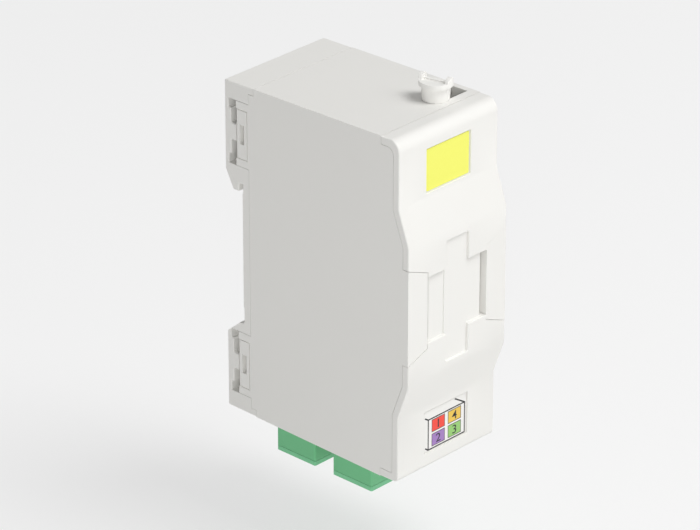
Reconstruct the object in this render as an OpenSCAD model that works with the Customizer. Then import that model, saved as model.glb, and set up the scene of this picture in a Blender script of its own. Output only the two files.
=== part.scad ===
// Fibre distribution box for a 35 mm top-hat rail.
// X runs across the box, Y from its front to the rail, and Z is up.
// The origin is the middle of the face that seats on the rail.

/* [Case] */
// Width of the case
case_w = 34.6; // [34:0.1:54]
// Height of the case at its front
case_h = 90; // [90:1:110]
// Depth from the rear face to the lower front face
case_d = 57; // [57:0.5:80]
// Thickness of the side walls
side_wall = 1.6; // [1.2:0.1:2]
// Least thickness of the top and bottom walls
end_wall = 1.8; // [1.4:0.1:2.1]
// How much lower the top lies at the rear than at the front
draft = 1; // [0:0.1:1.6]
// Radius of the long front edge at the top
front_r = 3.1; // [2:0.1:5]
// Radius of the long front edge at the bottom
low_r = 1.3; // [0.8:0.1:3]
// How far the middle of the front stands out
nose_out = 3.2; // [1:0.1:5]
// Height of the flat in the middle of the front
nose_h = 37.2; // [35:0.2:42]
// Height of the slope above and below that flat
slope_h = 8.8; // [5:0.2:9]

/* [Front cover] */
// Thickness of the cover plate
cover_t = 1.8; // [1.4:0.1:2.4]
// Gap along every visible seam
seam = 0.1; // [0.05:0.05:0.3]
// How far the cover wraps over the top and bottom
return_len = 5.7; // [4.5:0.1:8]
// Thickness of the cover where it wraps over
return_t = 2.1; // [1.6:0.1:2.6]
// Inner radius where the plate meets the wrapped part at the top
hook_r = 1.9; // [1:0.1:3]
// The same radius at the bottom
low_hook_r = 0.6; // [0.4:0.1:1]
// Width of the upright bar of the recess
bar_w = 8; // [6:0.5:9]
// Height of the upright bar of the recess
bar_h = 32; // [28:0.5:34]
// Depth of the upright bar of the recess
bar_deep = 0.7; // [0.3:0.1:0.9]
// Height of the cross arms of the recess
arm_h = 17.4; // [14:0.2:17.4]
// Depth of the cross arms of the recess
arm_deep = 1; // [0.8:0.1:1.5]
// Width of the slit at the end of each arm
slit_w = 1.1; // [0.8:0.1:1.4]
// Depth of that slit
slit_deep = 2.2; // [1.8:0.1:2.4]
// Thickness added behind the recess
backing_t = 1.2; // [0.8:0.1:2]
// Width of a label field
field_w = 15.5; // [12:0.5:18]
// Height of a label field
field_h = 11.5; // [9:0.5:12]
// Distance from the case's middle up to the upper field's middle
field_z = 34.4; // [34:0.1:34.8]
// Distance from the case's middle down to the lower field's middle
legend_z = 35.3; // [35:0.1:35.5]
// Depth of a label field
field_deep = 0.5; // [0.3:0.1:0.8]
// Thickness of the labels
label_t = 0.15; // [0.1:0.05:0.25]
// Border left around a label in its field
label_gap = 0.3; // [0.1:0.05:0.6]
// Length of the tongues that steer the cover
guide_len = 9; // [5:0.5:9]
// Height of those tongues
guide_h = 6; // [4:0.5:6]
// Distance from the case's middle to the middle of a tongue
guide_z = 30.5; // [30:0.1:31]
// Gap between a tongue and the side wall
guide_gap = 0.3; // [0.2:0.05:0.4]

/* [Front corners of the housing] */
// Height of a corner piece at the side of the case
corner_h = 25.2; // [22:0.2:27]
// Height of a corner piece at its inner end
corner_tip_h = 20; // [18:0.2:21]
// Width of a corner piece across the front
corner_w = 6.8; // [5:0.1:7]
// How far the corner pieces lie below the face of the cover
corner_low = 0.1; // [0:0.05:0.3]

/* [Rear base] */
// Distance from the rail seat to the rear face
seat_depth = 5.7; // [5.7:0.1:6.5]
// Depth of the base at the top and bottom
base_end_d = 9.6; // [9.2:0.1:11]
// Depth of the base at the sides
base_side_d = 7.9; // [7.5:0.1:8.5]
// Height of the first step of the seam
step_1 = 2.6; // [2.2:0.1:3]
// Height of the second step of the seam
step_2 = 5.4; // [5:0.1:5.8]
// Distance from the rear face to the snap tabs
tab_rear = 3.7; // [3.4:0.1:4]
// Height of a snap tab
tab_h = 17.2; // [16:0.2:17.6]
// Thickness of the base walls
base_t = 1.8; // [1.4:0.1:2]
// Width of the wide ends of the slots beside the tabs
slot_wide = 2.5; // [2.2:0.1:2.6]
// Width of the narrow stretch of those slots
slot_narrow = 1.7; // [1.3:0.1:2]
// Height of a wide slot end
slot_end_h = 2.6; // [2:0.1:3]
// Height of the bridge between two slots
bridge_h = 4.5; // [4:0.1:6]
// Depth of the snap window in a tab, along Y
window_d = 1.4; // [1:0.1:1.6]
// Distance from a tab's rear edge to its window
window_in = 1.3; // [1:0.1:1.5]
// Height of the snap window
window_h = 5.1; // [4:0.1:6]
// Clearance of the snap wedge in its window
wedge_gap = 0.15; // [0.1:0.05:0.25]
// Width and depth of the fine groove round the window
groove_w = 0.3; // [0.2:0.05:0.4]
// Border between the window and that groove
groove_in = 0.9; // [0.6:0.1:1]
// Height of the groove's frame
groove_h = 13.2; // [10:0.2:14]

/* [Rail] */
// Height of the rail
rail_h = 35; // [34:0.5:36]
// Thickness of the rail's flanges
rail_t = 1; // [0.8:0.1:1.2]
// How far a hook reaches behind a flange
hook_grip = 1.9; // [1.5:0.1:2.2]
// Thickness of a hook at its tip
hook_t = 1.9; // [1.6:0.1:2.2]
// Clearance around the rail's flanges
rail_gap = 0.25; // [0.15:0.05:0.35]
// Depth of the relief behind the flanges
relief = 0.2; // [0.1:0.05:0.3]
// Room below the rail, in which the box is tilted on
rail_drop = 2; // [1.6:0.1:2]
// Height of the slope that leads the rail in
lead_h = 3; // [2:0.2:3.4]

/* [Rail latch] */
// Width of the latch
latch_w = 16; // [12:0.5:18]
// Travel of the latch
latch_travel = 3; // [2:0.5:3]
// Clearance around the latch
latch_gap = 0.15; // [0.1:0.05:0.2]
// Width of each side rib of the latch
rib_w = 1.6; // [1.2:0.1:2]
// Thickness of the side ribs
rib_t = 1.3; // [1:0.1:1.5]
// Distance from the rail's lower edge to the side ribs
rib_down = 6.5; // [6:0.5:8]
// Thickness of the latch
latch_t = 2.85; // [2.6:0.05:2.9]
// How far the latch lies in from the rear face
latch_in = 0.2; // [0.1:0.05:0.3]
// Height of the nose that holds the rail
nose_grip_h = 4.3; // [4:0.1:4.6]
// Reach of the foot under the case
foot_reach = 3.6; // [2:0.2:5]
// Thickness of the foot
foot_t = 2.4; // [2:0.1:3]
// Gap between the foot and the case
foot_gap = 0.35; // [0.3:0.05:0.5]
// Length of the screwdriver slot in the foot
driver_w = 5.2; // [4:0.2:6]
// Width of the screwdriver slot in the foot
driver_d = 1.4; // [1:0.1:1.6]
// Outer diameter of the latch spring
spring_d = 2.7; // [2:0.1:2.7]
// Diameter of the spring's wire
wire_d = 0.4; // [0.3:0.05:0.5]
// Distance from the rail's lower edge to the spring
spring_down = 10.5; // [10:0.5:11]
// Working length of the spring
spring_len = 10; // [8:0.5:10]
// Turns of the spring
spring_turns = 8; // [5:1:8]
// Height of the peg that the spring stands on
peg_h = 1.6; // [1.2:0.1:2]

/* [Cable gland] */
// Distance from the right side of the case to the gland
gland_side = 9.9; // [9.8:0.1:11]
// Distance from the lower front face to the gland
gland_y = 11; // [10.5:0.1:14]
// Width of the cable slot
cable_slot_w = 5.2; // [4.6:0.1:5.6]
// Diameter of the gland at its foot
gland_d = 6.8; // [6.4:0.1:7]
// Diameter of the gland at its top
gland_top_d = 7.1; // [6.6:0.1:7.2]
// Height of the gland above the case
gland_h = 3.7; // [3:0.1:5]
// Diameter of the gland's bore
gland_bore_d = 3.4; // [3:0.1:3.6]
// Thickness of the flange inside the case
gland_flange_t = 1.2; // [0.8:0.1:1.4]
// Clearance between the gland and the top wall
gland_gap = 0.1; // [0.05:0.05:0.15]
// Diameter of the plug's head
head_d = 8.4; // [8:0.1:9]
// Thickness of the plug's head
head_t = 1.3; // [1:0.1:1.6]
// Clearance round and under the plug
plug_gap = 0.05; // [0.02:0.01:0.1]
// Length of the plug's stem
stem_len = 4; // [3:0.5:5]
// Distance from the plug's axis to the flat side of its head
head_flat = 0.3; // [0:0.1:1]
// Width of the rim round the dish in the head
dish_rim = 0.7; // [0.5:0.1:1]
// Depth of that dish
dish_deep = 0.3; // [0.2:0.1:0.6]
// Radius of the plug's two ears
ear_r = 1.6; // [1.3:0.1:1.8]
// Thickness of an ear
ear_t = 1.1; // [0.9:0.1:1.3]
// Height of the ears' tops above the gland
ear_top = 2.5; // [2:0.1:3]
// Angle that the plug is turned by
plug_turn = 15; // [0:1:30]

/* [Adapters] */
// Adapter width, across the case
adapter_w = 9.3; // [9.1:0.1:9.8]
// Adapter depth, from front to rear
adapter_d = 13; // [12.6:0.1:13.4]
// Adapter length
adapter_len = 25; // [24:0.5:28]
// How far an adapter stands out below the case
adapter_out = 9; // [8:0.5:10]
// Radius of an adapter's upright edges
adapter_r = 0.4; // [0.2:0.1:0.8]
// Distance between the two columns, centre to centre
pitch_x = 12.6; // [12:0.1:12.6]
// Distance from the lower front face to the front row
row_front = 14.4; // [13.5:0.1:15]
// Distance from the base's end seam to the rear row
row_rear = 1; // [0.8:0.1:2]
// Width of a port
port_w = 7.4; // [7.4:0.1:7.6]
// Depth of a port, without its key way
port_d = 9; // [9:0.1:9.2]
// Width of the key way
key_w = 2.6; // [2:0.1:3]
// Depth of the key way
key_d = 1; // [0.6:0.1:1.1]
// Thickness of the wall between the two ports
web_t = 1.6; // [1.2:0.1:2]
// Outer diameter of the tube that holds the sleeve
tube_d = 5; // [4.6:0.1:5.4]
// Length of the tube on each side of the wall
tube_len = 5.2; // [4:0.1:5.6]
// Outer diameter of the ceramic sleeve
sleeve_d = 3.2; // [3:0.1:3.3]
// Bore of the ceramic sleeve
sleeve_bore = 2.5; // [2.49:0.01:2.5]
// Length of the ceramic sleeve
sleeve_len = 11.4; // [10:0.1:11.4]
// Width of the slit along the sleeve
sleeve_slit = 0.3; // [0.2:0.05:0.4]
// Clearance round the sleeve in its tube
sleeve_gap = 0.05; // [0.03:0.01:0.1]
// Clearance of an adapter in its cut-out
cut_gap = 0.1; // [0.05:0.05:0.15]
// Width of the collar that stops an adapter
collar_w = 0.7; // [0.5:0.1:0.8]
// Thickness of that collar
collar_t = 1.5; // [1:0.1:2]
// Thickness of a dust plug's head
dust_head_t = 1.2; // [0.8:0.1:1.6]
// Seam between a dust plug and its adapter
dust_seam = 0.1; // [0.05:0.05:0.2]
// Depth of a dust plug's skirt in the port
dust_stem = 4; // [3:0.1:4]
// Clearance of that skirt in the port
dust_gap = 0.15; // [0.1:0.05:0.2]
// Thickness of that skirt
dust_wall = 1; // [0.8:0.1:1.2]
// Length of the dust plug's pin in the sleeve
dust_pin = 8; // [6:0.5:9]
// Thickness of the retaining plate
retainer_t = 1.4; // [1:0.1:2]
// Border of that plate round the adapters
retainer_rim = 2; // [1.6:0.1:2.2]
// Gap between the plate and the side walls
retainer_gap = 0.3; // [0.2:0.05:0.5]
// Distance from a side wall to the plate's screws
retainer_screw_in = 2.45; // [2.3:0.05:2.6]

/* [Splice tray] */
// Depth of the tray, from front to rear
tray_d = 40; // [38:0.5:40]
// Height of the tray
tray_h = 39; // [36:0.5:39]
// Height of the tray's lower edge above the case's middle
tray_low = -7; // [-9:0.5:-7]
// Gap between the lower front face and the tray
tray_front = 6.3; // [5.5:0.1:7]
// Thickness of the tray's floor
tray_t = 1.2; // [1:0.1:1.5]
// Height of the tray's rim
tray_rim = 5.4; // [5:0.1:5.8]
// Thickness of the tray's rim
rim_wall = 1; // [0.8:0.1:1.4]
// Corner radius of the tray
tray_r = 6; // [4:0.5:8]
// Width of the gaps in the rim for the fibres
rim_gap = 6; // [5:0.5:7]
// Radius of the winding guides
wind_r = 15; // [14:0.5:15.5]
// Thickness of the winding guides
wind_t = 1; // [0.8:0.1:1.2]
// How much lower than the rim the winding guides are
wind_low = 0.8; // [0.4:0.1:1]
// Distance from the tray's upper and lower edge to its screws
tray_screw_in = 4; // [3.5:0.1:4.5]
// Thickness of the tray's cover
tray_lid_t = 0.8; // [0.6:0.1:1.2]
// Radius of the finger notch in that cover
finger_r = 4; // [3:0.5:6]
// Number of splice places in the comb
comb_n = 4; // [2:1:4]
// Distance between two splice places
comb_pitch = 3.4; // [3.2:0.1:3.6]
// Diameter of a splice protector
splice_d = 2.6; // [2.4:0.1:2.8]
// Length of the comb
comb_len = 10; // [8:0.5:12]
// Height of the comb above the tray's floor
comb_t = 4; // [3.6:0.1:4.2]
// Depth of a splice place's axis in the comb
comb_axis = 1.2; // [1:0.1:1.4]

/* [Screws] */
// Thread diameter of the screws
screw_d = 2; // [1.6:0.1:2.2]
// Head diameter
screw_head_d = 3.8; // [3.4:0.1:4]
// Head height
screw_head_h = 1.2; // [1:0.1:1.4]
// Width of the cross slots in a head
screw_slot = 0.5; // [0.4:0.1:0.6]
// Clearance of a screw in the piece that it holds
screw_gap = 0.15; // [0.1:0.05:0.2]
// Diameter of the screw bosses
boss_d = 4; // [3.6:0.1:4.2]
// How far a screw enters its boss
screw_grip = 2.2; // [2:0.1:2.4]
// Room left below a screw's end
screw_room = 0.4; // [0.2:0.1:0.5]
// Length of the bosses behind the tray
tray_boss = 1.9; // [1.5:0.1:2.2]

/* [Cable clamp] */
// Width of the clamp bar, from front to rear
clamp_w = 13; // [13:0.5:15]
// Height of the clamp bar
clamp_h = 4.8; // [4.4:0.1:5]
// Thickness of the clamp bar
clamp_t = 2; // [1.6:0.1:2.4]
// Room for the cable between the wall and the bar
clamp_room = 3; // [2.6:0.1:3.4]
// Distance from the case's top to the clamp's middle
clamp_down = 7; // [6.8:0.1:7.2]
// Distance from the clamp's ends to its screws
clamp_screw_in = 2.1; // [2:0.1:2.3]

/* [Hidden] */
$fn = 48;

eps = 0.01;
over = 2;                                  // how far a cutting shape runs past a face
half_w = case_w / 2;
half_h = case_h / 2;
in_w = half_w - side_wall;                 // inner face of a side wall
in_h = half_h - draft - end_wall;          // inner face of the top and bottom walls
y_rear = seat_depth;
y_front = y_rear - case_d;
y_nose = y_front - nose_out;
nose_z = nose_h / 2;
slope_z = nose_z + slope_h;
bend = tan(atan(nose_out / slope_h) / 2);  // shift of a corner when the front is set in by 1
y_wrap = y_front + return_len;
arm_end = half_w - corner_w - seam;        // outer end of a cross arm
corner_t = max(cover_t, slit_deep);        // a corner piece is as deep as the slit beside it

y_end_seam = y_rear - base_end_d;
y_side_seam = y_rear - base_side_d;
y_tab = y_rear - tab_rear;
y_window = y_tab - window_in - window_d;
tab_top = half_h - step_2;
tab_low = tab_top - tab_h;
tab_mid = (tab_top + tab_low) / 2;
base_in = in_w - seam - base_t;            // inner face of the base's sides

rail_z = rail_h / 2;
hook_z = rail_z - hook_grip;               // tip of the upper hook
y_lip = rail_t + rail_gap;                 // face of the hooks behind the flanges
lead_z = hook_z + hook_t + lead_h;         // where the slope above the rail ends
y_latch = y_rear - latch_in - latch_t;     // front face of the latch
y_latch_mid = y_latch + latch_t / 2;
y_way = y_latch - latch_gap;               // floor of the way that the latch runs in
grip_low = -hook_z - nose_grip_h;          // underside of the latch's nose
rib_high = -rail_z - rib_down;
rib_low = -in_h + latch_travel;
spring_low = -rail_z - spring_down - spring_len;
window_w = spring_d / 2 + 0.4;             // half width of the spring's window
peg_w = window_w - 0.25;
foot_z = -half_h + draft - foot_gap;

tray_x = in_w - tray_boss - tray_t;        // inner face of the tray's floor
tray_top_x = tray_x - tray_rim;
tray_y = y_front + tray_front;
tray_mid = [tray_y + tray_d / 2, tray_low + tray_h / 2];
tray_screw_z = tray_h / 2 - tray_screw_in;
gland_c = [half_w - gland_side, y_front + gland_y];
gland_z = half_h - draft * (gland_y - return_len) / (case_d - return_len);
clamp_x = in_w - clamp_room - clamp_t;
clamp_z = half_h - clamp_down;
clamp_screw_y = clamp_w / 2 - clamp_screw_in;
pilot_d = screw_d * 0.85;
pass_d = screw_d + 2 * screw_gap;

port_z = -half_h - adapter_out;            // mouth of the outer ports
web_z = port_z + adapter_len / 2;
retain_z = -in_h + collar_t;               // underside of the retaining plate
row_y = [y_front + row_front + adapter_d / 2, y_end_seam - row_rear - adapter_d / 2];
// Ports count down the left column and up the right one
ports = [[-1, 0], [-1, 1], [1, 1], [1, 0]];
function port_at(n) = [ports[n][0] * pitch_x / 2, row_y[ports[n][1]], 0];
retain_y = (row_y[0] + row_y[1]) / 2;
retain_screw_x = in_w - retainer_screw_in;

coil_sides = 6;
coil_steps = 16;                           // rings of the coil in one turn
coil_play = 0.03;

shell = [0.86, 0.86, 0.84];
face = [0.92, 0.92, 0.90];
inner = [0.75, 0.75, 0.73];
port_green = [0.36, 0.72, 0.47];
plug_green = [0.42, 0.80, 0.54];

// Extrudes a drawing of the side view (Y, Z) from x0 to x1
module along_x(x0, x1) {
    translate([x0, 0, 0]) rotate([90, 0, 90]) linear_extrude(x1 - x0) children();
}

// Extrudes a drawing of the front view (X, Z) from y0 to y1
module along_y(y0, y1) {
    translate([0, y1, 0]) rotate([90, 0, 0]) linear_extrude(y1 - y0) children();
}

module twice_z() {
    children();
    mirror([0, 0, 1]) children();
}

module twice_x() {
    children();
    mirror([1, 0, 0]) children();
}

// Box from corner a to corner b
module block(a, b) {
    translate(a) cube(b - a);
}

// Rectangle with true round corners
module round_rect(w, h, r) {
    square([w - 2 * r, h], center = true);
    square([w, h - 2 * r], center = true);
    for (x = [-1, 1], y = [-1, 1])
        translate([x * (w / 2 - r), y * (h / 2 - r)]) circle(r);
}

// What a round edge leaves over at the upper front corner p
module corner_waste(p, r) {
    translate(p) difference() {
        translate([-over, -r]) square([r + over, r + over]);
        translate([r, -r]) circle(r);
    }
}

// Front edge of the side view, set in by t, from top to bottom
function front_line(t) = [
    [y_front + t, slope_z - t * bend], [y_nose + t, nose_z - t * bend],
    [y_nose + t, -nose_z + t * bend], [y_front + t, -slope_z + t * bend]
];

// Side view of the whole case
module case_outline() {
    difference() {
        polygon(concat(
            [[y_rear, half_h - draft], [y_wrap, half_h], [y_front, half_h]],
            front_line(0),
            [[y_front, -half_h], [y_wrap, -half_h], [y_rear, -half_h + draft]]
        ));
        corner_waste([y_front, half_h], front_r);
        mirror([0, 1]) corner_waste([y_front, half_h], low_r);
    }
}

// Side view of all that lies behind the cover, g away from it
module behind_cover(g) {
    y = y_front + cover_t + g;
    z = half_h - return_t - g;
    out = half_h + over;
    difference() {
        polygon(concat(
            [[y_rear + over, out], [y_wrap + g, out], [y_wrap + g, z], [y, z]],
            front_line(cover_t + g),
            [[y, -z], [y_wrap + g, -z], [y_wrap + g, -out], [y_rear + over, -out]]
        ));
        corner_waste([y, z], hook_r - g);
        mirror([0, 1]) corner_waste([y, z], low_hook_r - g);
    }
}

// Side view of the rear base's share of the case, grown by g
module base_share(g) {
    y_end = y_end_seam - g;
    y_side = y_side_seam - g;
    for (s = [0, 1]) mirror([0, s]) polygon([
        [y_rear + over, -eps], [y_rear + over, half_h + over], [y_end, half_h + over],
        [y_end, half_h - step_1 - g], [y_side, half_h - step_1 - g],
        [y_side, tab_top - g], [y_tab - g, tab_top - g],
        [y_tab - g, tab_low + g], [y_side, tab_low + g], [y_side, -eps]
    ]);
}

// Pan-head screw along +X, its head's seat at the origin
module screw(len) {
    rotate([0, 90, 0]) difference() {
        union() {
            cylinder(d = screw_d, h = len);
            translate([0, 0, -screw_head_h])
                cylinder(d1 = screw_head_d * 0.8, d2 = screw_head_d, h = screw_head_h);
        }
        for (a = [0, 90]) rotate(a) translate([0, 0, -screw_head_h])
            cube([screw_head_d * 0.6, screw_slot, screw_head_h], center = true);
    }
}

// Housing

// Front view of the right corner piece, grown by g
module corner_face(g) {
    tip = half_w - corner_w - g;
    polygon([
        [half_w + over, corner_h / 2 + g], [half_w, corner_h / 2 + g], [tip, corner_tip_h / 2 + g],
        [tip, -corner_tip_h / 2 - g], [half_w, -corner_h / 2 - g], [half_w + over, -corner_h / 2 - g]
    ]);
}

module front_corner() {
    y = y_nose + corner_low;
    intersection() {
        along_y(y, y + corner_t) corner_face(0);
        block([0, y_nose, -half_h], [half_w, y_rear, half_h]);
    }
    intersection() {
        along_y(y, y + cover_t + 2 * seam + eps) corner_face(0);
        block([in_w, y_nose, -half_h], [half_w, y_rear, half_h]);
    }
}

module tab_window() {
    block([in_w - over, y_window, tab_mid - window_h / 2],
          [half_w + over, y_window + window_d, tab_mid + window_h / 2]);
}

// Fine groove round the snap window
module tab_groove() {
    y = y_window - groove_in - groove_w;
    d = window_d + 2 * (groove_in + groove_w) - (window_in + y_window + window_d - y_tab);
    along_x(half_w - groove_w, half_w + over) translate([y, tab_mid - groove_h / 2]) difference() {
        square([d, groove_h]);
        translate([groove_w, groove_w]) square([d - 2 * groove_w, groove_h - 2 * groove_w]);
    }
}

// Slot in the top, from the gland to the right side wall
module cable_slot() {
    translate([gland_c[0], gland_c[1], in_h - over]) linear_extrude(half_h) {
        circle(d = cable_slot_w);
        translate([0, -cable_slot_w / 2]) square([in_w - gland_c[0], cable_slot_w]);
    }
}

// Places of the screws that hold the tray and the clamp, as [y, z]
function tray_screw(s) = [tray_mid[0], tray_mid[1] + s * tray_screw_z];
function clamp_screw(s) = [gland_c[1] + s * clamp_screw_y, clamp_z];

module x_boss(p, len) {
    translate([in_w - len, p[0], p[1]]) rotate([0, 90, 0]) cylinder(d = boss_d, h = len + eps);
}

module x_pilot(p, len) {
    translate([in_w - len - eps, p[0], p[1]]) rotate([0, 90, 0])
        cylinder(d = pilot_d, h = screw_grip + screw_room);
}

module adapter_cut(n) {
    translate(port_at(n) - [0, 0, half_h])
        cube([adapter_w + 2 * cut_gap, adapter_d + 2 * cut_gap, 2 * (half_h - in_h) + over], center = true);
}

module housing() color(shell) difference() {
    union() {
        difference() {
            along_x(-half_w, half_w) difference() {
                intersection() {
                    case_outline();
                    behind_cover(seam);
                }
                base_share(seam);
            }
            block([-in_w, y_nose - over, -in_h], [in_w, y_rear + over, in_h]);
        }
        twice_x() front_corner();
        for (s = [-1, 1]) {
            x_boss(tray_screw(s), tray_boss);
            x_boss(clamp_screw(s), clamp_room);
            translate([s * retain_screw_x, retain_y, -in_h - eps])
                cylinder(d = boss_d, h = retain_z + in_h + eps);
        }
    }
    twice_x() twice_z() {
        tab_window();
        tab_groove();
    }
    cable_slot();
    for (n = [0:3]) adapter_cut(n);
    for (s = [-1, 1]) {
        x_pilot(tray_screw(s), tray_boss);
        x_pilot(clamp_screw(s), clamp_room);
        translate([s * retain_screw_x, retain_y, retain_z - screw_grip - screw_room])
            cylinder(d = pilot_d, h = screw_grip + 1);
    }
}

// Front cover

module cover_field(z) {
    block([-field_w / 2, y_front - over, z - field_h / 2],
          [field_w / 2, y_front + field_deep, z + field_h / 2]);
}

module cover_guide() {
    x = in_w - guide_gap;
    block([x - cover_t * 0.7, y_front + cover_t - eps, guide_z - guide_h / 2],
          [x, y_front + cover_t + guide_len, guide_z + guide_h / 2]);
}

module front_cover() color(face) difference() {
    union() {
        along_x(-half_w, half_w) difference() {
            case_outline();
            behind_cover(0);
        }
        block([-arm_end, y_nose + cover_t - eps, 1 - nose_z],
              [arm_end, y_nose + cover_t + backing_t, nose_z - 1]);
        twice_x() twice_z() cover_guide();
    }
    twice_x() {
        along_y(y_nose - over, y_nose + 2 * cover_t) corner_face(seam);
        block([bar_w / 2 - eps, y_nose - over, -arm_h / 2], [arm_end + eps, y_nose + arm_deep, arm_h / 2]);
        block([arm_end - slit_w, y_nose, -arm_h / 2], [arm_end + eps, y_nose + slit_deep, arm_h / 2]);
    }
    block([-bar_w / 2, y_nose - over, -bar_h / 2], [bar_w / 2, y_nose + bar_deep, bar_h / 2]);
    for (z = [field_z, -legend_z]) cover_field(z);
}

module label(z) {
    translate([0, y_front + field_deep - label_t, z]) rotate([-90, 0, 0])
        linear_extrude(label_t) round_rect(field_w - 2 * label_gap, field_h - 2 * label_gap, 0.4);
}

module yellow_label() color([0.97, 0.95, 0.35]) label(field_z);

module port_legend() color([0.98, 0.98, 0.98]) label(-legend_z);

// Rear base

// Side view of the rail and the way in for it, between the hooks
module rail_recess() {
    low = -rail_z - rail_drop;
    polygon([
        [y_rear + over, lead_z + over], [y_rear, lead_z], [y_lip + hook_t, hook_z],
        [y_lip, hook_z], [y_lip, rail_z + rail_gap], [-relief, rail_z + rail_gap],
        [-relief, hook_z - relief], [0, hook_z - relief], [0, relief - hook_z],
        [-relief, relief - hook_z], [-relief, low], [y_lip, low - rail_gap],
        [y_rear, -rail_z - 2 * lead_h], [y_rear + over, -rail_z - 2 * lead_h - over]
    ]);
}

// Slots in the side of the base, at both ends of a tab's rear edge
module tab_slots() {
    for (s = [0, 1]) translate([0, tab_mid]) mirror([0, s]) {
        translate([y_tab - eps, bridge_h / 2]) square([slot_narrow, (tab_h - bridge_h) / 2]);
        translate([y_tab - eps, tab_h / 2 - slot_end_h]) square([slot_wide, slot_end_h]);
    }
}

// Side view of a hollow of the base, open towards the housing, from z0 to z1
module base_hollow(y1, z0, z1) {
    translate([y_end_seam - over, z0]) square([y1 - y_end_seam + over, z1 - z0]);
}

module latch_way() {
    w = latch_w / 2 + latch_gap;
    rib = w + rib_w;
    room = 0.4;
    block([-w, y_way, -half_h - over], [w, y_rear + over, -hook_z]);
    block([-rib, y_way, -in_h - draft], [rib, y_way + rib_t + 2 * latch_gap, rib_high + room]);
    block([-w, rail_t, grip_low - latch_travel - room], [w, y_rear + over, -hook_z]);
}

// Wedge of the base that snaps into a tab's window
module tab_wedge() {
    d = window_d - 2 * wedge_gap;
    translate([in_w - seam - eps, y_window + wedge_gap, tab_mid - window_h / 2 + wedge_gap])
        linear_extrude(window_h - 2 * wedge_gap)
            polygon([[0, 0], [side_wall * 0.7, 0], [side_wall * 0.25, d], [0, d]]);
}

module rear_base() color(shell) {
    difference() {
        union() {
            along_x(-half_w, half_w) intersection() {
                case_outline();
                base_share(0);
            }
            block([seam - in_w, y_side_seam, -tab_top - eps], [in_w - seam, y_rear, tab_top + eps]);
        }
        along_x(-half_w - over, half_w + over) rail_recess();
        along_x(-base_in, base_in) {
            base_hollow(-base_t, -in_h, in_h);
            base_hollow(y_rear - base_t, lead_z + hook_t, in_h);
            base_hollow(y_way - base_t, -in_h, -rail_z - lead_h - 1);
        }
        twice_x() twice_z() along_x(base_in - eps, half_w + over) tab_slots();
        latch_way();
    }
    block([-peg_w, y_way - eps, spring_low - peg_h], [peg_w, y_rear - latch_in - 0.4, spring_low]);
    twice_x() twice_z() tab_wedge();
}

// Rail latch

module rail_latch() color([0.80, 0.80, 0.78]) {
    y1 = y_rear - latch_in;
    y_toe = y_latch - foot_reach;
    rib = latch_w / 2 + rib_w - latch_gap;
    difference() {
        union() {
            along_x(-latch_w / 2, latch_w / 2) polygon([
                [y_lip, -hook_z], [y_lip + hook_t, -hook_z], [y1, -hook_z - lead_h],
                [y1, foot_z - foot_t], [y_toe, foot_z - foot_t], [y_toe, foot_z],
                [y_latch, foot_z], [y_latch, grip_low], [y_lip, grip_low]
            ]);
            block([-rib, y_latch, rib_low], [rib, y_latch + rib_t, rib_high]);
        }
        block([-window_w, y_latch - over, spring_low - peg_h - latch_in],
              [window_w, y_rear + over, spring_low + spring_len]);
        block([-driver_w / 2, y_toe + 1, foot_z - foot_t - over],
              [driver_w / 2, y_toe + 1 + driver_d, foot_z + over]);
    }
}

// Points of one ring of the wire
function coil_ring(i) = let (
    a = 360 * i / coil_steps,
    r = (spring_d - wire_d) / 2,
    rise = (spring_len - wire_d - 2 * coil_play) / (spring_turns * coil_steps),
    z = spring_low + wire_d / 2 + coil_play + rise * i
) [for (k = [0:coil_sides - 1]) let (b = 360 * k / coil_sides, q = r + wire_d / 2 * cos(b))
    [q * cos(a), y_latch_mid + q * sin(a), z + wire_d / 2 * sin(b)]];

// The coil as one closed tube
module latch_spring() color([0.72, 0.73, 0.75]) {
    n = spring_turns * coil_steps;
    s = coil_sides;
    polyhedron(
        points = [for (i = [0:n]) each coil_ring(i)],
        faces = concat(
            [[for (k = [0:s - 1]) k], [for (k = [s - 1:-1:0]) n * s + k]],
            [for (i = [0:n - 1], k = [0:s - 1])
                [i * s + k, (i + 1) * s + k, (i + 1) * s + (k + 1) % s, i * s + (k + 1) % s]]
        )
    );
}

// Cable gland and its plug

module cable_gland() color(face) translate([gland_c[0], gland_c[1], gland_z]) {
    neck_r = cable_slot_w / 2 - gland_gap;
    top_of_flange = in_h - gland_z - gland_gap;
    under = top_of_flange - gland_flange_t;
    rotate_extrude() difference() {
        polygon([
            [0, under], [gland_d / 2, under], [gland_d / 2, top_of_flange], [neck_r, top_of_flange],
            [neck_r, gland_gap], [gland_d / 2, gland_gap], [gland_top_d / 2, gland_h], [0, gland_h]
        ]);
        translate([-over, under - over]) square([gland_bore_d / 2 + over, gland_h - under + 2 * over]);
    }
}

// Round head with one flat side, seen from above and set in by g
module head_outline(g) {
    intersection() {
        circle(d = head_d - 2 * g);
        translate([-head_d, -head_d]) square([head_d + head_flat - g, 2 * head_d]);
    }
}

module gland_plug() color(face) translate([gland_c[0], gland_c[1], gland_z + gland_h]) {
    stem_r = gland_bore_d / 2 - plug_gap;
    edge = 0.3;
    rotate_extrude() polygon([
        [0, -stem_len], [stem_r - edge, -stem_len], [stem_r, edge - stem_len],
        [stem_r, plug_gap + eps], [0, plug_gap + eps]
    ]);
    rotate(plug_turn) {
        difference() {
            translate([0, 0, plug_gap]) linear_extrude(head_t - plug_gap) head_outline(0);
            translate([0, 0, head_t - dish_deep]) linear_extrude(over) head_outline(dish_rim);
        }
        for (s = [-1, 1]) intersection() {
            translate([0, s * (head_d - ear_t) / 2, ear_top - ear_r])
                rotate([90, 0, 0]) cylinder(r = ear_r, h = ear_t, center = true);
            translate([0, 0, plug_gap]) cylinder(d = head_d, h = ear_top);
        }
    }
}

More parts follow.
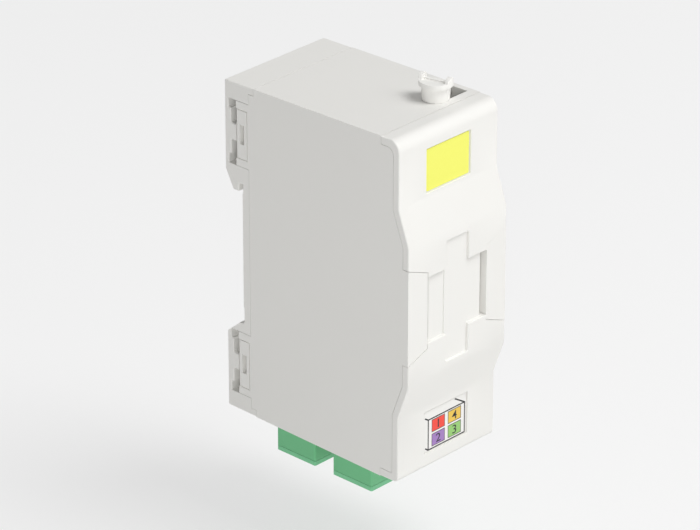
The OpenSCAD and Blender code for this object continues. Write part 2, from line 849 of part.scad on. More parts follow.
// Cable clamp inside the top

module cable_clamp() color(inner) difference() {
    block([clamp_x, gland_c[1] - clamp_w / 2, clamp_z - clamp_h / 2],
          [clamp_x + clamp_t, gland_c[1] + clamp_w / 2, clamp_z + clamp_h / 2]);
    for (s = [-1, 1]) translate([clamp_x - eps, clamp_screw(s)[0], clamp_z]) rotate([0, 90, 0])
        cylinder(d = pass_d, h = clamp_t + 1);
    translate([clamp_x + clamp_t + 1, gland_c[1], clamp_z - clamp_h])
        cylinder(d = clamp_room, h = 2 * clamp_h);
}

module clamp_screws() color("silver") for (s = [-1, 1])
    translate([clamp_x, clamp_screw(s)[0], clamp_z]) screw(clamp_t + screw_grip);

// Splice tray

module tray_outline(g) {
    translate(tray_mid) round_rect(tray_d - 2 * g, tray_h - 2 * g, tray_r - g);
}

// Side view of the rim, open at the upper front and twice at the bottom
module tray_rim_face() {
    difference() {
        tray_outline(0);
        tray_outline(rim_wall);
        translate([tray_y + tray_r, tray_mid[1]]) square([rim_gap, tray_h]);
        for (s = [-1, 1]) translate([tray_mid[0] + s * tray_d / 4 - rim_gap / 2, tray_low - over])
            square([rim_gap, 2 * over]);
    }
}

// Quarter rings that keep the fibres in their loop
module winding_guides() {
    for (a = [0:90:270]) rotate(a + 45) intersection() {
        difference() {
            circle(wind_r);
            circle(wind_r - wind_t);
        }
        translate([0, -wind_r * 0.4]) square([wind_r, wind_r * 0.8]);
    }
}

module splice_tray() color([0.30, 0.31, 0.33]) difference() {
    union() {
        along_x(tray_x, tray_x + tray_t) tray_outline(0);
        along_x(tray_top_x, tray_x + eps) tray_rim_face();
        along_x(tray_top_x + wind_low, tray_x + eps) translate(tray_mid) winding_guides();
    }
    for (s = [-1, 1]) translate([tray_x - eps, tray_screw(s)[0], tray_screw(s)[1]]) rotate([0, 90, 0])
        cylinder(d = pass_d, h = tray_t + 1);
}

module tray_screws() color("silver") for (s = [-1, 1])
    translate([tray_x, tray_screw(s)[0], tray_screw(s)[1]]) screw(tray_t + screw_grip);

module tray_cover() color([0.85, 0.88, 0.9, 0.5]) along_x(tray_top_x - tray_lid_t, tray_top_x) difference() {
    tray_outline(0);
    translate([tray_y, tray_mid[1]]) circle(finger_r);
}

module splice_comb() color([0.2, 0.2, 0.22]) {
    w = comb_n * comb_pitch;
    translate([tray_x - comb_t, tray_mid[0] - comb_len / 2, tray_mid[1] - w / 2]) difference() {
        cube([comb_t, comb_len, w]);
        for (i = [0:comb_n - 1]) translate([comb_axis, -1, comb_pitch * (i + 0.5)]) {
            rotate([-90, 0, 0]) cylinder(d = splice_d, h = comb_len + 2);
            translate([-over, 0, -splice_d * 0.4]) cube([over, comb_len + 2, splice_d * 0.8]);
        }
    }
}

// Adapters

// Front view of a port, g smaller all round; only the port itself has the key way
module port_hole(g) {
    square([port_w - 2 * g, port_d - 2 * g], center = true);
    if (g == 0) translate([-key_w / 2, port_d / 2 - eps]) square([key_w, key_d + eps]);
}

module adapter(n) color(port_green) translate(port_at(n)) {
    difference() {
        union() {
            translate([0, 0, port_z]) linear_extrude(adapter_len)
                round_rect(adapter_w, adapter_d, adapter_r);
            translate([0, 0, -in_h]) linear_extrude(collar_t)
                round_rect(adapter_w + 2 * collar_w, adapter_d + 2 * collar_w, adapter_r);
        }
        for (s = [0, 1]) translate([0, 0, web_z]) mirror([0, 0, s]) translate([0, 0, web_t / 2])
            difference() {
                linear_extrude(adapter_len) port_hole(0);
                cylinder(d = tube_d, h = tube_len);
            }
        translate([0, 0, web_z])
            cylinder(d = sleeve_d + 2 * sleeve_gap, h = sleeve_len + 2 * sleeve_gap, center = true);
        translate([0, 0, port_z - over])
            cylinder(d = sleeve_bore + 2 * sleeve_gap, h = adapter_len + 2 * over);
    }
}

module sleeve(n) color("white") translate(port_at(n) + [0, 0, web_z]) difference() {
    cylinder(d = sleeve_d, h = sleeve_len, center = true);
    cylinder(d = sleeve_bore, h = sleeve_len + over, center = true);
    translate([sleeve_d / 2, 0, 0]) cube([sleeve_d, sleeve_slit, sleeve_len + over], center = true);
}

module dust_plug(n) color(plug_green) translate(port_at(n) + [0, 0, port_z - dust_seam]) {
    translate([0, 0, -dust_head_t]) linear_extrude(dust_head_t) round_rect(adapter_w, adapter_d, adapter_r);
    translate([0, 0, -eps]) linear_extrude(dust_stem) difference() {
        port_hole(dust_gap);
        port_hole(dust_gap + dust_wall);
    }
    translate([0, 0, -eps]) cylinder(d = sleeve_bore - 2 * sleeve_gap, h = dust_pin);
}

module adapter_1() adapter(0);
module adapter_2() adapter(1);
module adapter_3() adapter(2);
module adapter_4() adapter(3);
module sleeve_1() sleeve(0);
module sleeve_2() sleeve(1);
module sleeve_3() sleeve(2);
module sleeve_4() sleeve(3);
module dust_plug_1() dust_plug(0);
module dust_plug_2() dust_plug(1);
module dust_plug_3() dust_plug(2);
module dust_plug_4() dust_plug(3);

module adapter_retainer() color(inner) translate([0, 0, retain_z]) linear_extrude(retainer_t) difference() {
    translate([0, retain_y])
        round_rect(2 * (in_w - retainer_gap),
                   row_y[1] - row_y[0] + adapter_d + 2 * retainer_rim, retainer_rim);
    for (n = [0:3]) translate(port_at(n))
        square([adapter_w + 3 * cut_gap, adapter_d + 3 * cut_gap], center = true);
    for (s = [-1, 1]) translate([s * retain_screw_x, retain_y]) circle(d = pass_d);
}

module retainer_screws() color("silver") for (s = [-1, 1])
    translate([s * retain_screw_x, retain_y, retain_z + retainer_t]) rotate([0, 90, 0])
        screw(retainer_t + screw_grip);

rear_base();
rail_latch();
latch_spring();
housing();
front_cover();
yellow_label();
port_legend();
cable_gland();
gland_plug();
cable_clamp();
clamp_screws();
splice_tray();
tray_cover();
splice_comb();
tray_screws();
adapter_1();
adapter_2();
adapter_3();
adapter_4();
sleeve_1();
sleeve_2();
sleeve_3();
sleeve_4();
dust_plug_1();
dust_plug_2();
dust_plug_3();
dust_plug_4();
adapter_retainer();
retainer_screws();
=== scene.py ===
import bpy
import bmesh
import math
from mathutils import Matrix, Vector
from mathutils.bvhtree import BVHTree
from mathutils.geometry import intersect_point_line


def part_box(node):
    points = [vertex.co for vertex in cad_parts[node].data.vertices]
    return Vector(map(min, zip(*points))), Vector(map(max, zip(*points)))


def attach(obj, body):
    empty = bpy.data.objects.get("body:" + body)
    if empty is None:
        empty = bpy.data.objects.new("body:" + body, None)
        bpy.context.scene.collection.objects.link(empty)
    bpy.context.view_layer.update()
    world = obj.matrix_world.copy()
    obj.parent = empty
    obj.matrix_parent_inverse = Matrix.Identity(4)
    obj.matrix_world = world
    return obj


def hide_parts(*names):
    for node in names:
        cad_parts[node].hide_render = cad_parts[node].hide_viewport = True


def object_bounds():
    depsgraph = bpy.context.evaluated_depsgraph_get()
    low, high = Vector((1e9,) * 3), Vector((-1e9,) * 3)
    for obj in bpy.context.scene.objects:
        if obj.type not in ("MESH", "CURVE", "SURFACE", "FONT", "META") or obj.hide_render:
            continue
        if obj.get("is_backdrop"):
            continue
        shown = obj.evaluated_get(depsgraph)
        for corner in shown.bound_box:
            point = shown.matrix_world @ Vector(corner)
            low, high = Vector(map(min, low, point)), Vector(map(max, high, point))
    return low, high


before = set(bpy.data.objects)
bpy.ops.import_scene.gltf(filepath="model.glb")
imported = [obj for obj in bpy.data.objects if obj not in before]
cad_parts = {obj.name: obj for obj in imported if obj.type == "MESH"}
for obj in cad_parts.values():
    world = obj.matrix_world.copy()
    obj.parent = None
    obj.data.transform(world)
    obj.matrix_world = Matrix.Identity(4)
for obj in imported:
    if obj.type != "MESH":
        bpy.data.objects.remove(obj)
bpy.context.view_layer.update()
mm = 0.001
print("frame loaded,", len(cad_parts), "nodes")


# Camera

cameraSetup = {
    "azimuth": -46.79,                  # degrees round the box, from its front
    "elevation": 26.10,
    "distance": 1.1016,
    "aim": (-0.0030, -0.0222, -0.0014),
    "lens": 233.9,
    "sensor": 36.0,
    "near": 0.05,
    "far": 20.0,
}


def addObject(name, data):
    obj = bpy.data.objects.new(name, data)
    bpy.context.scene.collection.objects.link(obj)
    return obj


def placeFacing(obj, place, way):
    obj.location = place
    obj.rotation_mode = "QUATERNION"
    obj.rotation_quaternion = way.to_track_quat("-Z", "Y")


def makeCamera(setup):
    turn, rise = math.radians(setup["azimuth"]), math.radians(setup["elevation"])
    back = Vector((math.sin(turn) * math.cos(rise), -math.cos(turn) * math.cos(rise), math.sin(rise)))
    data = bpy.data.cameras.new("camera")
    data.lens = setup["lens"]
    data.sensor_width = setup["sensor"]
    data.clip_start, data.clip_end = setup["near"], setup["far"]
    camera = addObject("camera", data)
    placeFacing(camera, Vector(setup["aim"]) + back * setup["distance"], -back)
    bpy.context.scene.camera = camera


makeCamera(cameraSetup)
print("camera placed")


# Node writing: Wire wraps a socket and overloads the operators, Graph.node makes every other node

class Wire:
    def __init__(self, graph, socket):
        self.graph, self.socket = graph, socket

    def __getitem__(self, name):        # another output of the same node
        return Wire(self.graph, self.socket.node.outputs[name])

    def join(self, operation, first, second):
        return self.graph.node("ShaderNodeMath", {"operation": operation}, {0: first, 1: second})

    def __add__(self, other):
        return self.join("ADD", self, other)

    def __radd__(self, other):
        return self.join("ADD", other, self)

    def __sub__(self, other):
        return self.join("SUBTRACT", self, other)

    def __rsub__(self, other):
        return self.join("SUBTRACT", other, self)

    def __mul__(self, other):
        return self.join("MULTIPLY", self, other)

    def __rmul__(self, other):
        return self.join("MULTIPLY", other, self)

    def __gt__(self, other):
        return self.join("GREATER_THAN", self, other)

    def __lt__(self, other):            # the reflected form of >
        return self.join("LESS_THAN", self, other)


class Graph:
    def __init__(self, tree):
        self.tree = tree
        tree.nodes.clear()

    def node(self, kind, settings=None, sockets=None, out=0):
        made = self.tree.nodes.new(kind)
        for key, value in (settings or {}).items():
            setattr(made, key, value)
        for key, value in (sockets or {}).items():
            for each in value if isinstance(value, list) else [value]:      # a list is several links
                if isinstance(each, Wire):
                    self.tree.links.new(each.socket, made.inputs[key])
                else:
                    made.inputs[key].default_value = each
        return Wire(self, made.outputs[out]) if made.outputs else None


# Finishes: each look holds its noises (scale per metre, detail, roughness) and what they change

def rgba(colour):
    return (*colour, 1.0)


def newMaterial(name):
    material = bpy.data.materials.new(name)
    material.use_nodes = True
    return material, Graph(material.node_tree)


def noise(graph, scale, detail, rough, where=None):
    where = where or graph.node("ShaderNodeTexCoord", out="Object")
    return graph.node("ShaderNodeTexNoise", {}, {
        "Vector": where, "Scale": scale, "Detail": detail, "Roughness": rough})


def around(wire, middle, spread):
    return wire * spread + (middle - spread / 2)


def blendColours(graph, factor, first, second):
    # the Mix node's colour sockets are inputs 6 and 7 and output 2
    return graph.node("ShaderNodeMix", {"data_type": "RGBA"}, {
        0: factor, 6: rgba(first), 7: rgba(second)}, out=2)


def bump(graph, height, look, depth=None):
    return graph.node("ShaderNodeBump", {}, {
        "Height": height, "Strength": look["strength"], "Distance": depth or look["depth"]})


def surfaceOf(graph, sockets):
    surface = graph.node("ShaderNodeBsdfPrincipled", {}, sockets)
    graph.node("ShaderNodeOutputMaterial", {}, {"Surface": surface})


mouldedLook = {
    "cloud": (45.0, 3.0, 0.5),          # slow change of tone across a moulding
    "cloudShare": 0.7,                  # of the tone, and the rest follows the grain
    "grain": (2.0, 0.6),                # spark-eroded texture of the tool, its scale is the finish's own
    "spread": 0.16,                     # of the roughness
    "specular": 0.45,
    "strength": 0.5,
}


def mouldedPlastic(name, colour, shade, grain, depth, rough):
    material, graph = newMaterial(name)
    look = mouldedLook
    cloud = noise(graph, *look["cloud"])
    fine = noise(graph, grain, *look["grain"])
    tone = cloud * look["cloudShare"] + fine * (1 - look["cloudShare"])
    surfaceOf(graph, {
        "Base Color": blendColours(graph, tone, colour, shade),
        "Roughness": around(fine, rough, look["spread"]),
        "Specular IOR Level": look["specular"],
        "Normal": bump(graph, fine, look, depth * mm),
    })
    return material


glossLook = {
    "flow": (160.0, 4.0, 0.55),         # faint flow marks
    "fine": (5200.0, 1.0, 0.5),
    "fineShare": 0.3,                   # beside the flow marks, in the bump
    "spread": 0.12,
    "coat": 0.08,
    "strength": 0.25,
    "depth": 0.04 * mm,
}


def glossPlastic(name, colour, shade, rough):
    material, graph = newMaterial(name)
    look = glossLook
    flow = noise(graph, *look["flow"])
    fine = noise(graph, *look["fine"])
    surfaceOf(graph, {
        "Base Color": blendColours(graph, flow, colour, shade),
        "Roughness": around(flow, rough, look["spread"]),
        "Normal": bump(graph, flow + fine * look["fineShare"], look),
        "Coat Weight": look["coat"],
    })
    return material


drawnLook = {
    "stretch": (400.0, 400.0, 5200.0),  # per metre: scratches lie close together up a piece
    "scratch": (1.0, 3.0, 0.6),
    "spread": 0.2,
    "strength": 0.3,
    "depth": 0.02 * mm,
}


def drawnMetal(name, colour, shade, rough):
    material, graph = newMaterial(name)
    look = drawnLook
    place = graph.node("ShaderNodeTexCoord", out="Object")
    along = graph.node("ShaderNodeMapping", {}, {"Vector": place, "Scale": look["stretch"]})
    scratch = noise(graph, *look["scratch"], along)
    surfaceOf(graph, {
        "Base Color": blendColours(graph, scratch, colour, shade),
        "Metallic": 1.0,
        "Roughness": around(scratch, rough, look["spread"]),
        "Normal": bump(graph, scratch, look),
    })
    return material


clearLook = {
    "haze": (300.0, 3.0, 0.5),
    "rough": 0.10,
    "alpha": 0.40,
    "spread": 0.1,                      # of the roughness and the alpha
}


def clearPlastic(name, colour, shade):
    material, graph = newMaterial(name)
    look = clearLook
    haze = noise(graph, *look["haze"])
    surfaceOf(graph, {
        "Base Color": blendColours(graph, haze, colour, shade),
        "Roughness": around(haze, look["rough"], look["spread"]),
        "Alpha": around(haze, look["alpha"], look["spread"]),
    })
    return material


printedLook = {
    "peel": (900.0, 2.0, 0.5),
    "rough": 0.45,
    "spread": 0.1,
    "strength": 0.2,
    "depth": 0.02 * mm,
}


def printedFilm(name, colour, shade):
    material, graph = newMaterial(name)
    look = printedLook
    peel = noise(graph, *look["peel"])
    surfaceOf(graph, {
        "Base Color": blendColours(graph, peel, colour, shade),
        "Roughness": around(peel, look["rough"], look["spread"]),
        "Normal": bump(graph, peel, look),
    })
    return material


finishTable = {
    mouldedPlastic: {
        # finish: material, colour, its second tone, grain per metre, depth of the grain in mm, roughness
        "shell": ("shell_plastic", (0.840, 0.832, 0.802), (0.822, 0.814, 0.784), 3600.0, 0.03, 0.52),
        "cover": ("cover_plastic", (0.840, 0.832, 0.802), (0.824, 0.816, 0.786), 3600.0, 0.03, 0.50),
        "latch": ("latch_plastic", (0.820, 0.812, 0.782), (0.800, 0.792, 0.762), 3600.0, 0.03, 0.48),
        "gland": ("gland_plastic", (0.890, 0.882, 0.852), (0.874, 0.866, 0.836), 4200.0, 0.02, 0.40),
        "inner": ("inner_plastic", (0.760, 0.752, 0.725), (0.740, 0.732, 0.705), 3000.0, 0.03, 0.50),
        "tray": ("tray_plastic", (0.045, 0.047, 0.052), (0.060, 0.062, 0.068), 3000.0, 0.03, 0.45),
        "comb": ("comb_rubber", (0.018, 0.018, 0.020), (0.030, 0.030, 0.032), 2500.0, 0.04, 0.70),
    },
    glossPlastic: {
        # finish: material, colour, its second tone, roughness
        "green": ("adapter_green", (0.160, 0.540, 0.255), (0.148, 0.512, 0.240), 0.42),
        "greenCap": ("plug_green", (0.205, 0.620, 0.325), (0.192, 0.592, 0.308), 0.38),
        "ceramic": ("zirconia", (0.850, 0.840, 0.800), (0.800, 0.790, 0.750), 0.20),
    },
    clearPlastic: {
        # finish: material, colour, its second tone
        "clear": ("clear_plastic", (0.860, 0.900, 0.920), (0.800, 0.850, 0.880)),
    },
    drawnMetal: {
        # finish: material, colour, its second tone, roughness
        "screw": ("zinc_steel", (0.620, 0.630, 0.650), (0.500, 0.510, 0.540), 0.35),
        "spring": ("spring_steel", (0.500, 0.510, 0.530), (0.400, 0.410, 0.430), 0.30),
    },
    printedFilm: {
        # finish: material, colour, its second tone
        "yellow": ("yellow_film", (0.890, 0.895, 0.150), (0.870, 0.875, 0.138)),
        "card": ("card_film", (0.850, 0.843, 0.815), (0.836, 0.829, 0.801)),
        "ground": ("print_white", (0.870, 0.858, 0.838), (0.858, 0.846, 0.826)),
        "black": ("print_black", (0.012, 0.012, 0.014), (0.020, 0.020, 0.022)),
        "grey": ("print_grey", (0.100, 0.085, 0.080), (0.085, 0.072, 0.068)),
        "red": ("print_red", (0.900, 0.065, 0.042), (0.870, 0.060, 0.038)),
        "orange": ("print_orange", (0.840, 0.555, 0.080), (0.820, 0.535, 0.072)),
        "violet": ("print_violet", (0.360, 0.205, 0.520), (0.345, 0.192, 0.500)),
        "leaf": ("print_green", (0.305, 0.595, 0.170), (0.290, 0.570, 0.158)),
    },
}
finishes = {finish: make(*values) for make, rows in finishTable.items() for finish, values in rows.items()}
print("finishes made,", len(finishes))


# Mouldings: each moulded CAD solid gets its edges rounded as a mould leaves them, and the kept solids get
# their finishes

rounding = {
    "merge": 0.002 * mm,                # points of the CAD mesh nearer than this are one point
    "flat": math.radians(0.6),          # its triangles within this angle are one face
    "turn": math.radians(32),           # edges that turn less than this stay as they are
    "seam": 0.03 * mm,                  # radius where two parts meet
    "reach": 0.35 * mm,                 # how near another part must be to make a seam
    "share": 0.3,                       # largest radius, as a share of the shortest neighbour edge
    "room": 0.4,                        # and as a share of the way to the facing edge of the same face
    "inLine": 0.85,                     # cosine from which an edge runs on and isn't such a neighbour
    "facing": 0.3,                      # cosine up to which another edge of the face is a facing one
    "segments": 3,
    "crease": math.radians(40),         # edges left sharper than this are shaded as creases
}


def evaluatedMesh(obj):
    bpy.context.view_layer.update()
    seen = obj.evaluated_get(bpy.context.evaluated_depsgraph_get())
    mesh = bpy.data.meshes.new_from_object(seen)
    obj.modifiers.clear()
    return mesh


def writeMesh(work, mesh):
    work.to_mesh(mesh)
    work.free()
    return mesh


def showMesh(name, mesh, body, finish=None, stands=()):
    obj = addObject(name, mesh)
    if finish:
        mesh.materials.clear()
        mesh.materials.append(finishes[finish])
    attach(obj, body)
    if stands:
        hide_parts(*stands)


def otherParts(node):
    points, faces = [], []
    for name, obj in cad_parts.items():
        if name != node:
            start = len(points)
            points.extend(vertex.co for vertex in obj.data.vertices)
            faces.extend([start + i for i in face.vertices] for face in obj.data.polygons)
    return BVHTree.FromPolygons(points, faces)


def direction(edge):
    return (edge.verts[1].co - edge.verts[0].co).normalized()


def neighbourLength(edge):
    along = direction(edge)
    lengths = [other.calc_length() for vertex in edge.verts for other in vertex.link_edges
               if other != edge and abs(direction(other).dot(along)) < rounding["inLine"]]
    return min(lengths, default=math.inf)


def loopDirection(loop):
    return (loop.link_loop_next.vert.co - loop.vert.co).normalized()


def wayBetween(first, second):
    ways = []
    for edge, other in ((first, second), (second, first)):
        start, end = (vertex.co for vertex in other.verts)
        for vertex in edge.verts:
            share = intersect_point_line(vertex.co, start, end)[1]
            ways.append((vertex.co - start.lerp(end, min(max(share, 0.0), 1.0))).length)
    return min(ways)


def facingRoom(edge):
    ways = []
    for loop in edge.link_loops:
        along = loopDirection(loop)
        for other in loop.face.loops:
            apart = not set(other.edge.verts) & set(edge.verts)
            if apart and loopDirection(other).dot(along) < rounding["facing"]:
                ways.append(wayBetween(edge, other.edge))
    return min(ways, default=math.inf)


def edgeWeights(work, node, radius):
    others = otherParts(node)
    layer = work.edges.layers.float.new("bevel_weight_edge")
    for edge in work.edges:
        if len(edge.link_faces) != 2 or edge.calc_face_angle() < rounding["turn"]:
            continue
        middle = (edge.verts[0].co + edge.verts[1].co) / 2
        atSeam = others.find_nearest(middle, rounding["reach"])[0] is not None
        wanted = rounding["seam"] if atSeam else radius
        most = min(neighbourLength(edge) * rounding["share"], facingRoom(edge) * rounding["room"])
        edge[layer] = min(wanted, most) / radius


def roundedMesh(node, radius):
    work = bmesh.new()
    work.from_mesh(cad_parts[node].data)
    bmesh.ops.remove_doubles(work, verts=work.verts, dist=rounding["merge"])
    bmesh.ops.dissolve_limit(work, angle_limit=rounding["flat"], verts=work.verts, edges=work.edges)
    edgeWeights(work, node, radius)
    obj = addObject(node + "_work", writeMesh(work, bpy.data.meshes.new(node + "_merged")))
    bevel = obj.modifiers.new("edges", "BEVEL")
    bevel.limit_method = "WEIGHT"
    bevel.width = radius
    bevel.segments = rounding["segments"]
    bevel.use_clamp_overlap = True
    obj.data = evaluatedMesh(obj)
    obj.data.shade_smooth()
    obj.data.set_sharp_from_angle(angle=rounding["crease"])
    even = obj.modifiers.new("normals", "WEIGHTED_NORMAL")      # flat faces shade flat up to their edges
    even.keep_sharp = True
    shaded = evaluatedMesh(obj)
    bpy.data.objects.remove(obj)
    return shaded


mouldings = {
    # node: finish, edge radius in mm, body
    "housing": ("shell", 0.35, "case"),
    "rear_base": ("shell", 0.35, "case"),
    "front_cover": ("cover", 0.35, "cover"),
    "rail_latch": ("latch", 0.3, "latch"),
    "cable_gland": ("gland", 0.2, "case"),
    "gland_plug": ("gland", 0.25, "entry_plug"),
    "adapter_retainer": ("inner", 0.2, "case"),
    "cable_clamp": ("inner", 0.3, "case"),
    "splice_tray": ("tray", 0.2, "case"),
    "tray_cover": ("clear", 0.15, "case"),
    "splice_comb": ("comb", 0.15, "case"),
}
keptSolids = {
    # node that keeps its CAD shape: finish
    "latch_spring": "spring",
    "clamp_screws": "screw",
    "tray_screws": "screw",
    "retainer_screws": "screw",
    "yellow_label": "yellow",
    "port_legend": "card",
}
for port in range(1, 5):                # the four ports
    mouldings[f"adapter_{port}"] = ("green", 0.2, "case")
    mouldings[f"dust_plug_{port}"] = ("greenCap", 0.3, f"port_cap_{port}")
    keptSolids[f"sleeve_{port}"] = "ceramic"

for node, (finish, radius, body) in mouldings.items():
    showMesh(node + "_moulding", roundedMesh(node, radius * mm), body, finish, [node])
for node, finish in keptSolids.items():
    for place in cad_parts[node].material_slots:
        place.material = finishes[finish]
print("mouldings rounded,", len(mouldings))


# Print on the port legend: a line drawing of the box, four coloured fields and their numbers

legend = {
    "left": 1.40 * mm,                  # from the card's left edge to the drawing's left line
    "right": 0.45 * mm,
    "bottom": 0.25 * mm,
    "height": 8.2 * mm,
    "line": 0.35 * mm,
    "ticks": {                          # oblique lines from three corners, by column and row
        (0, 0): (-0.91 * mm, 0.66 * mm),
        (0, 1): (-1.04 * mm, 0.67 * mm),
        (1, 1): (-3.40 * mm, 2.12 * mm),
    },
    "field": (4.32 * mm, 3.02 * mm),
    "step": (5.81 * mm, 3.88 * mm),     # from one field's middle to the next
    "offset": (-0.03 * mm, 0.06 * mm),  # of the four fields, from the drawing's middle
    "outline": 0.21 * mm,
    "film": 0.02 * mm,
    "proud": 0.5,                       # how many films the fields stand before their outline
    # side and level of each field, by its finish and by its number
    "inks": {"red": (-1, 1), "orange": (1, 1), "violet": (-1, -1), "leaf": (1, -1)},
    "digits": {"1": (-1, 1), "4": (1, 1), "2": (-1, -1), "3": (1, -1)},
    "digit": 3.3 * mm,
    "lower": 0.15 * mm,                 # how far the numbers stand below their fields' middles
    "stretch": 1.17,
    "weight": 0.01 * mm,                # how much bolder than the plain font
    "weld": 0.0005 * mm,                # closes the font's open edges
}


def newTree(name, inputs):
    tree = bpy.data.node_groups.new(name, "GeometryNodeTree")
    for way in ("INPUT", "OUTPUT"):
        tree.interface.new_socket("Geometry", in_out=way, socket_type="NodeSocketGeometry")
    for label, kind in inputs.items():
        tree.interface.new_socket(label, in_out="INPUT", socket_type="NodeSocket" + kind)
    return Graph(tree)


def grow(name, mesh, graph, values):
    obj = addObject(name + "_work", mesh)
    modifier = obj.modifiers.new("nodes", "NODES")
    modifier.node_group = graph.tree
    for item in graph.tree.interface.items_tree:
        if item.name in values:
            modifier[item.identifier] = values[item.name]
    grown = evaluatedMesh(obj)
    bpy.data.objects.remove(obj)
    if grown.materials[0] is None:      # the empty slot of the tree's first mesh
        grown.materials.pop(index=0)
    return grown


def combine(graph, x, y, z):
    return graph.node("ShaderNodeCombineXYZ", {}, {0: x, 1: y, 2: z})


def lineTree():
    # one flat bar along each edge of the mesh that the modifier sits on
    graph = newTree("legendLines", {"Line": "Float", "Film": "Float"})
    given = graph.node("NodeGroupInput")
    ends = graph.node("GeometryNodeInputMeshEdgeVertices")
    along = graph.node("ShaderNodeVectorMath", {"operation": "SUBTRACT"},
                       {0: ends["Position 2"], 1: ends["Position 1"]})
    marked = graph.node("GeometryNodeStoreNamedAttribute", {"data_type": "FLOAT_VECTOR", "domain": "EDGE"},
                        {"Geometry": given["Geometry"], "Name": "along", "Value": along})
    middles = graph.node("GeometryNodeMeshToPoints", {"mode": "EDGES"}, {"Mesh": marked})
    run = graph.node("GeometryNodeInputNamedAttribute", {"data_type": "FLOAT_VECTOR"}, {"Name": "along"})
    length = graph.node("ShaderNodeVectorMath", {"operation": "LENGTH"}, {0: run}, out="Value")
    turn = graph.node("FunctionNodeAlignRotationToVector", {"axis": "X", "pivot_axis": "Y"}, {"Vector": run})
    unitBar = graph.node("GeometryNodeMeshCube", {}, {"Size": (1.0, 1.0, 1.0)})
    bars = graph.node("GeometryNodeInstanceOnPoints", {}, {
        "Points": middles, "Instance": unitBar, "Rotation": turn,
        "Scale": combine(graph, length + given["Line"], given["Film"], given["Line"])})
    solid = graph.node("GeometryNodeRealizeInstances", {}, {"Geometry": bars})
    inked = graph.node("GeometryNodeSetMaterial", {}, {"Geometry": solid, "Material": finishes["black"]})
    graph.node("NodeGroupOutput", {}, {"Geometry": inked})
    return graph


def fieldTree(proud, inks):
    # two rows of two fields on a darker outline, each column and row with its own ink
    graph = newTree("legendFields", {
        "Width": "Float", "Height": "Float", "Step X": "Float", "Step Z": "Float",
        "Outline": "Float", "Film": "Float", "Middle": "Vector"})
    given = graph.node("NodeGroupInput")
    grid = graph.node("GeometryNodeMeshGrid", {}, {
        "Size X": given["Step X"], "Size Y": given["Step Z"], "Vertices X": 2, "Vertices Y": 2})
    upright = graph.node("GeometryNodeTransform", {}, {
        "Geometry": grid, "Translation": given["Middle"], "Rotation": (math.radians(90), 0.0, 0.0)})
    layers = []
    for border, forward in ((given["Outline"] * 2, 0.0), (0.0, proud)):      # the outlines, then the fields
        plate = graph.node("GeometryNodeMeshCube", {}, {"Size": combine(
            graph, given["Width"] + border, given["Film"], given["Height"] + border)})
        raised = graph.node("GeometryNodeTransform", {}, {
            "Geometry": plate, "Translation": combine(graph, 0.0, given["Film"] * -forward, 0.0)})
        placed = graph.node("GeometryNodeInstanceOnPoints", {}, {"Points": upright, "Instance": raised})
        layers.append(graph.node("GeometryNodeRealizeInstances", {}, {"Geometry": placed}))
    outline, fields = layers
    outline = graph.node("GeometryNodeSetMaterial", {}, {"Geometry": outline, "Material": finishes["grey"]})
    middle = graph.node("ShaderNodeSeparateXYZ", {}, {0: given["Middle"]})
    place = graph.node("ShaderNodeSeparateXYZ", {}, {0: graph.node("GeometryNodeInputPosition")})
    right = place["X"] > middle["X"]
    upper = place["Z"] > middle["Z"]
    for ink, (side, level) in inks.items():
        beside = right if side > 0 else 1 - right
        chosen = beside * (upper if level > 0 else 1 - upper)
        fields = graph.node("GeometryNodeSetMaterial", {}, {
            "Geometry": fields, "Selection": chosen, "Material": finishes[ink]})
    joined = graph.node("GeometryNodeJoinGeometry", {}, {"Geometry": [outline, fields]})
    graph.node("NodeGroupOutput", {}, {"Geometry": joined})
    return graph


def flatPlate(name, low, high):
    work = bmesh.new()
    bmesh.ops.create_cube(work, size=1.0)
    for vertex in work.verts:
        vertex.co = (low + high) / 2 + vertex.co * (high - low)
    return writeMesh(work, bpy.data.meshes.new(name))


def digitMesh(text, setup, place):
    curve = bpy.data.curves.new("digit_" + text, "FONT")
    curve.body = text
    curve.size = setup["digit"]
    curve.offset = setup["weight"]
    curve.extrude = setup["film"] / 2
    curve.align_x = "CENTER"
    curve.align_y = "CENTER"
    obj = addObject("digit_work", curve)
    mesh = evaluatedMesh(obj)
    bpy.data.objects.remove(obj)
    work = bmesh.new()
    work.from_mesh(mesh)
    bmesh.ops.remove_doubles(work, verts=work.verts, dist=setup["weld"])
    writeMesh(work, mesh)
    mesh.shade_flat()
    upright = Matrix.Rotation(math.radians(90), 4, "X") @ Matrix.Scale(setup["stretch"], 4, (1, 0, 0))
    mesh.transform(Matrix.Translation(place) @ upright)
    return mesh


def showPrint(name, mesh, finish=None):
    showMesh(name, mesh, "cover", finish)


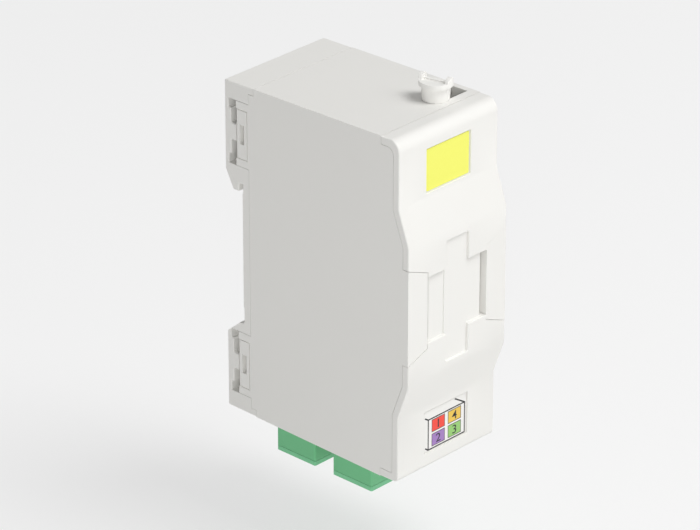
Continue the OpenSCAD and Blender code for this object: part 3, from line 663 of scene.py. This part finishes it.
def makeLegend(setup):
    low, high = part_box("port_legend")
    film = setup["film"]
    face = low.y - film / 2             # middle of the print's depth
    left, right = low.x + setup["left"], high.x - setup["right"]
    bottom = low.z + setup["bottom"]
    top = bottom + setup["height"]
    showPrint("legend_ground", flatPlate(
        "legend_ground", Vector((left, face, bottom)), Vector((right, low.y + film, top))), "ground")

    corners = {(0, 0): (left, bottom), (1, 0): (right, bottom), (1, 1): (right, top), (0, 1): (left, top)}
    points = [Vector((x, face, z)) for x, z in corners.values()]
    edges = [(0, 1), (1, 2), (2, 3), (3, 0)]
    for corner, (runX, runZ) in setup["ticks"].items():
        start = list(corners).index(corner)
        edges.append((start, len(points)))
        points.append(points[start] + Vector((runX, 0.0, runZ)))
    drawing = bpy.data.meshes.new("legend_drawing")
    drawing.from_pydata(points, edges, [])
    showPrint("legend_lines", grow("legend_lines", drawing, lineTree(), {
        "Line": setup["line"], "Film": film}))

    width, height = setup["field"]
    stepX, stepZ = setup["step"]
    offsetX, offsetZ = setup["offset"]
    middle = Vector(((left + right) / 2 + offsetX, face, (bottom + top) / 2 + offsetZ))
    showPrint("legend_fields", grow(
        "legend_fields", bpy.data.meshes.new("legend_start"), fieldTree(setup["proud"], setup["inks"]), {
            "Width": width, "Height": height, "Step X": stepX, "Step Z": stepZ,
            "Outline": setup["outline"], "Film": film, "Middle": middle}))
    for text, (side, level) in setup["digits"].items():
        place = middle + Vector((side * stepX / 2, -film, level * stepZ / 2 - setup["lower"]))
        showPrint("legend_digit_" + text, digitMesh(text, setup, place), "black")


makeLegend(legend)
print("port legend printed")


# Studio: pale floor, white surroundings, soft lamps

studio = {
    "floorSize": 6.0,
    "floorDrop": 21.0 * mm,             # room for a dust plug pulled out of the hanging box
    "floorColour": (0.90, 0.90, 0.90),
    "floorRough": 0.9,
    "floorSpecular": 0.1,
    "floorGlow": 0.60,                  # share of plain white in what the camera sees of the floor
    "white": (1.0, 1.0, 1.0),
    "world": 0.30,                      # light of the surroundings on the box
    "lamps": {
        # name: place, size, watts
        "key": ((0.30, -0.80, 1.40), 0.9, 14.0),
        "side": ((0.55, -1.10, 1.00), 0.9, 3.6),
        "fill": ((-1.02, -0.92, 0.12), 0.7, 6.2),
    },
}


def seenDirectly(graph):
    # 1 for what the camera sees straight, mirrored or through clear plastic
    path = graph.node("ShaderNodeLightPath")
    seen = path["Is Camera Ray"] + path["Is Glossy Ray"] + path["Is Transmission Ray"]
    return graph.node("ShaderNodeMath", {"operation": "MINIMUM"}, {0: seen, 1: 1.0})


def makeWorld(setup):
    world = bpy.data.worlds.new("studio")
    bpy.context.scene.world = world
    world.use_nodes = True
    graph = Graph(world.node_tree)
    colour = rgba(setup["white"])
    light = graph.node("ShaderNodeBackground", {}, {"Color": colour, "Strength": setup["world"]})
    shown = graph.node("ShaderNodeBackground", {}, {"Color": colour, "Strength": 1.0})
    mixed = graph.node("ShaderNodeMixShader", {}, {0: seenDirectly(graph), 1: light, 2: shown})
    graph.node("ShaderNodeOutputWorld", {}, {"Surface": mixed})


def makeFloor(setup):
    material, graph = newMaterial("floor_paint")
    paint = graph.node("ShaderNodeBsdfPrincipled", {}, {
        "Base Color": rgba(setup["floorColour"]), "Roughness": setup["floorRough"],
        "Specular IOR Level": setup["floorSpecular"]})
    glow = graph.node("ShaderNodeEmission", {}, {"Color": rgba(setup["white"]), "Strength": 1.0})
    share = seenDirectly(graph) * setup["floorGlow"]
    mixed = graph.node("ShaderNodeMixShader", {}, {0: share, 1: paint, 2: glow})
    graph.node("ShaderNodeOutputMaterial", {}, {"Surface": mixed})
    half, bottom = setup["floorSize"] / 2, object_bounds()[0].z - setup["floorDrop"]
    corners = [(-half, -half, bottom), (half, -half, bottom), (half, half, bottom), (-half, half, bottom)]
    mesh = bpy.data.meshes.new("floor")
    mesh.from_pydata(corners, [], [(0, 1, 2, 3)])
    mesh.materials.append(material)
    addObject("floor", mesh)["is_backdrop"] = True


def makeLamps(setup, aim):
    for name, (place, size, watts) in setup["lamps"].items():
        data = bpy.data.lights.new(name, "AREA")
        data.shape = "DISK"
        data.size = size
        data.energy = watts
        placeFacing(addObject(name, data), place, Vector(aim) - Vector(place))


makeWorld(studio)
makeFloor(studio)
makeLamps(studio, cameraSetup["aim"])
bpy.context.scene.view_settings.view_transform = "Standard"
print("studio lit")
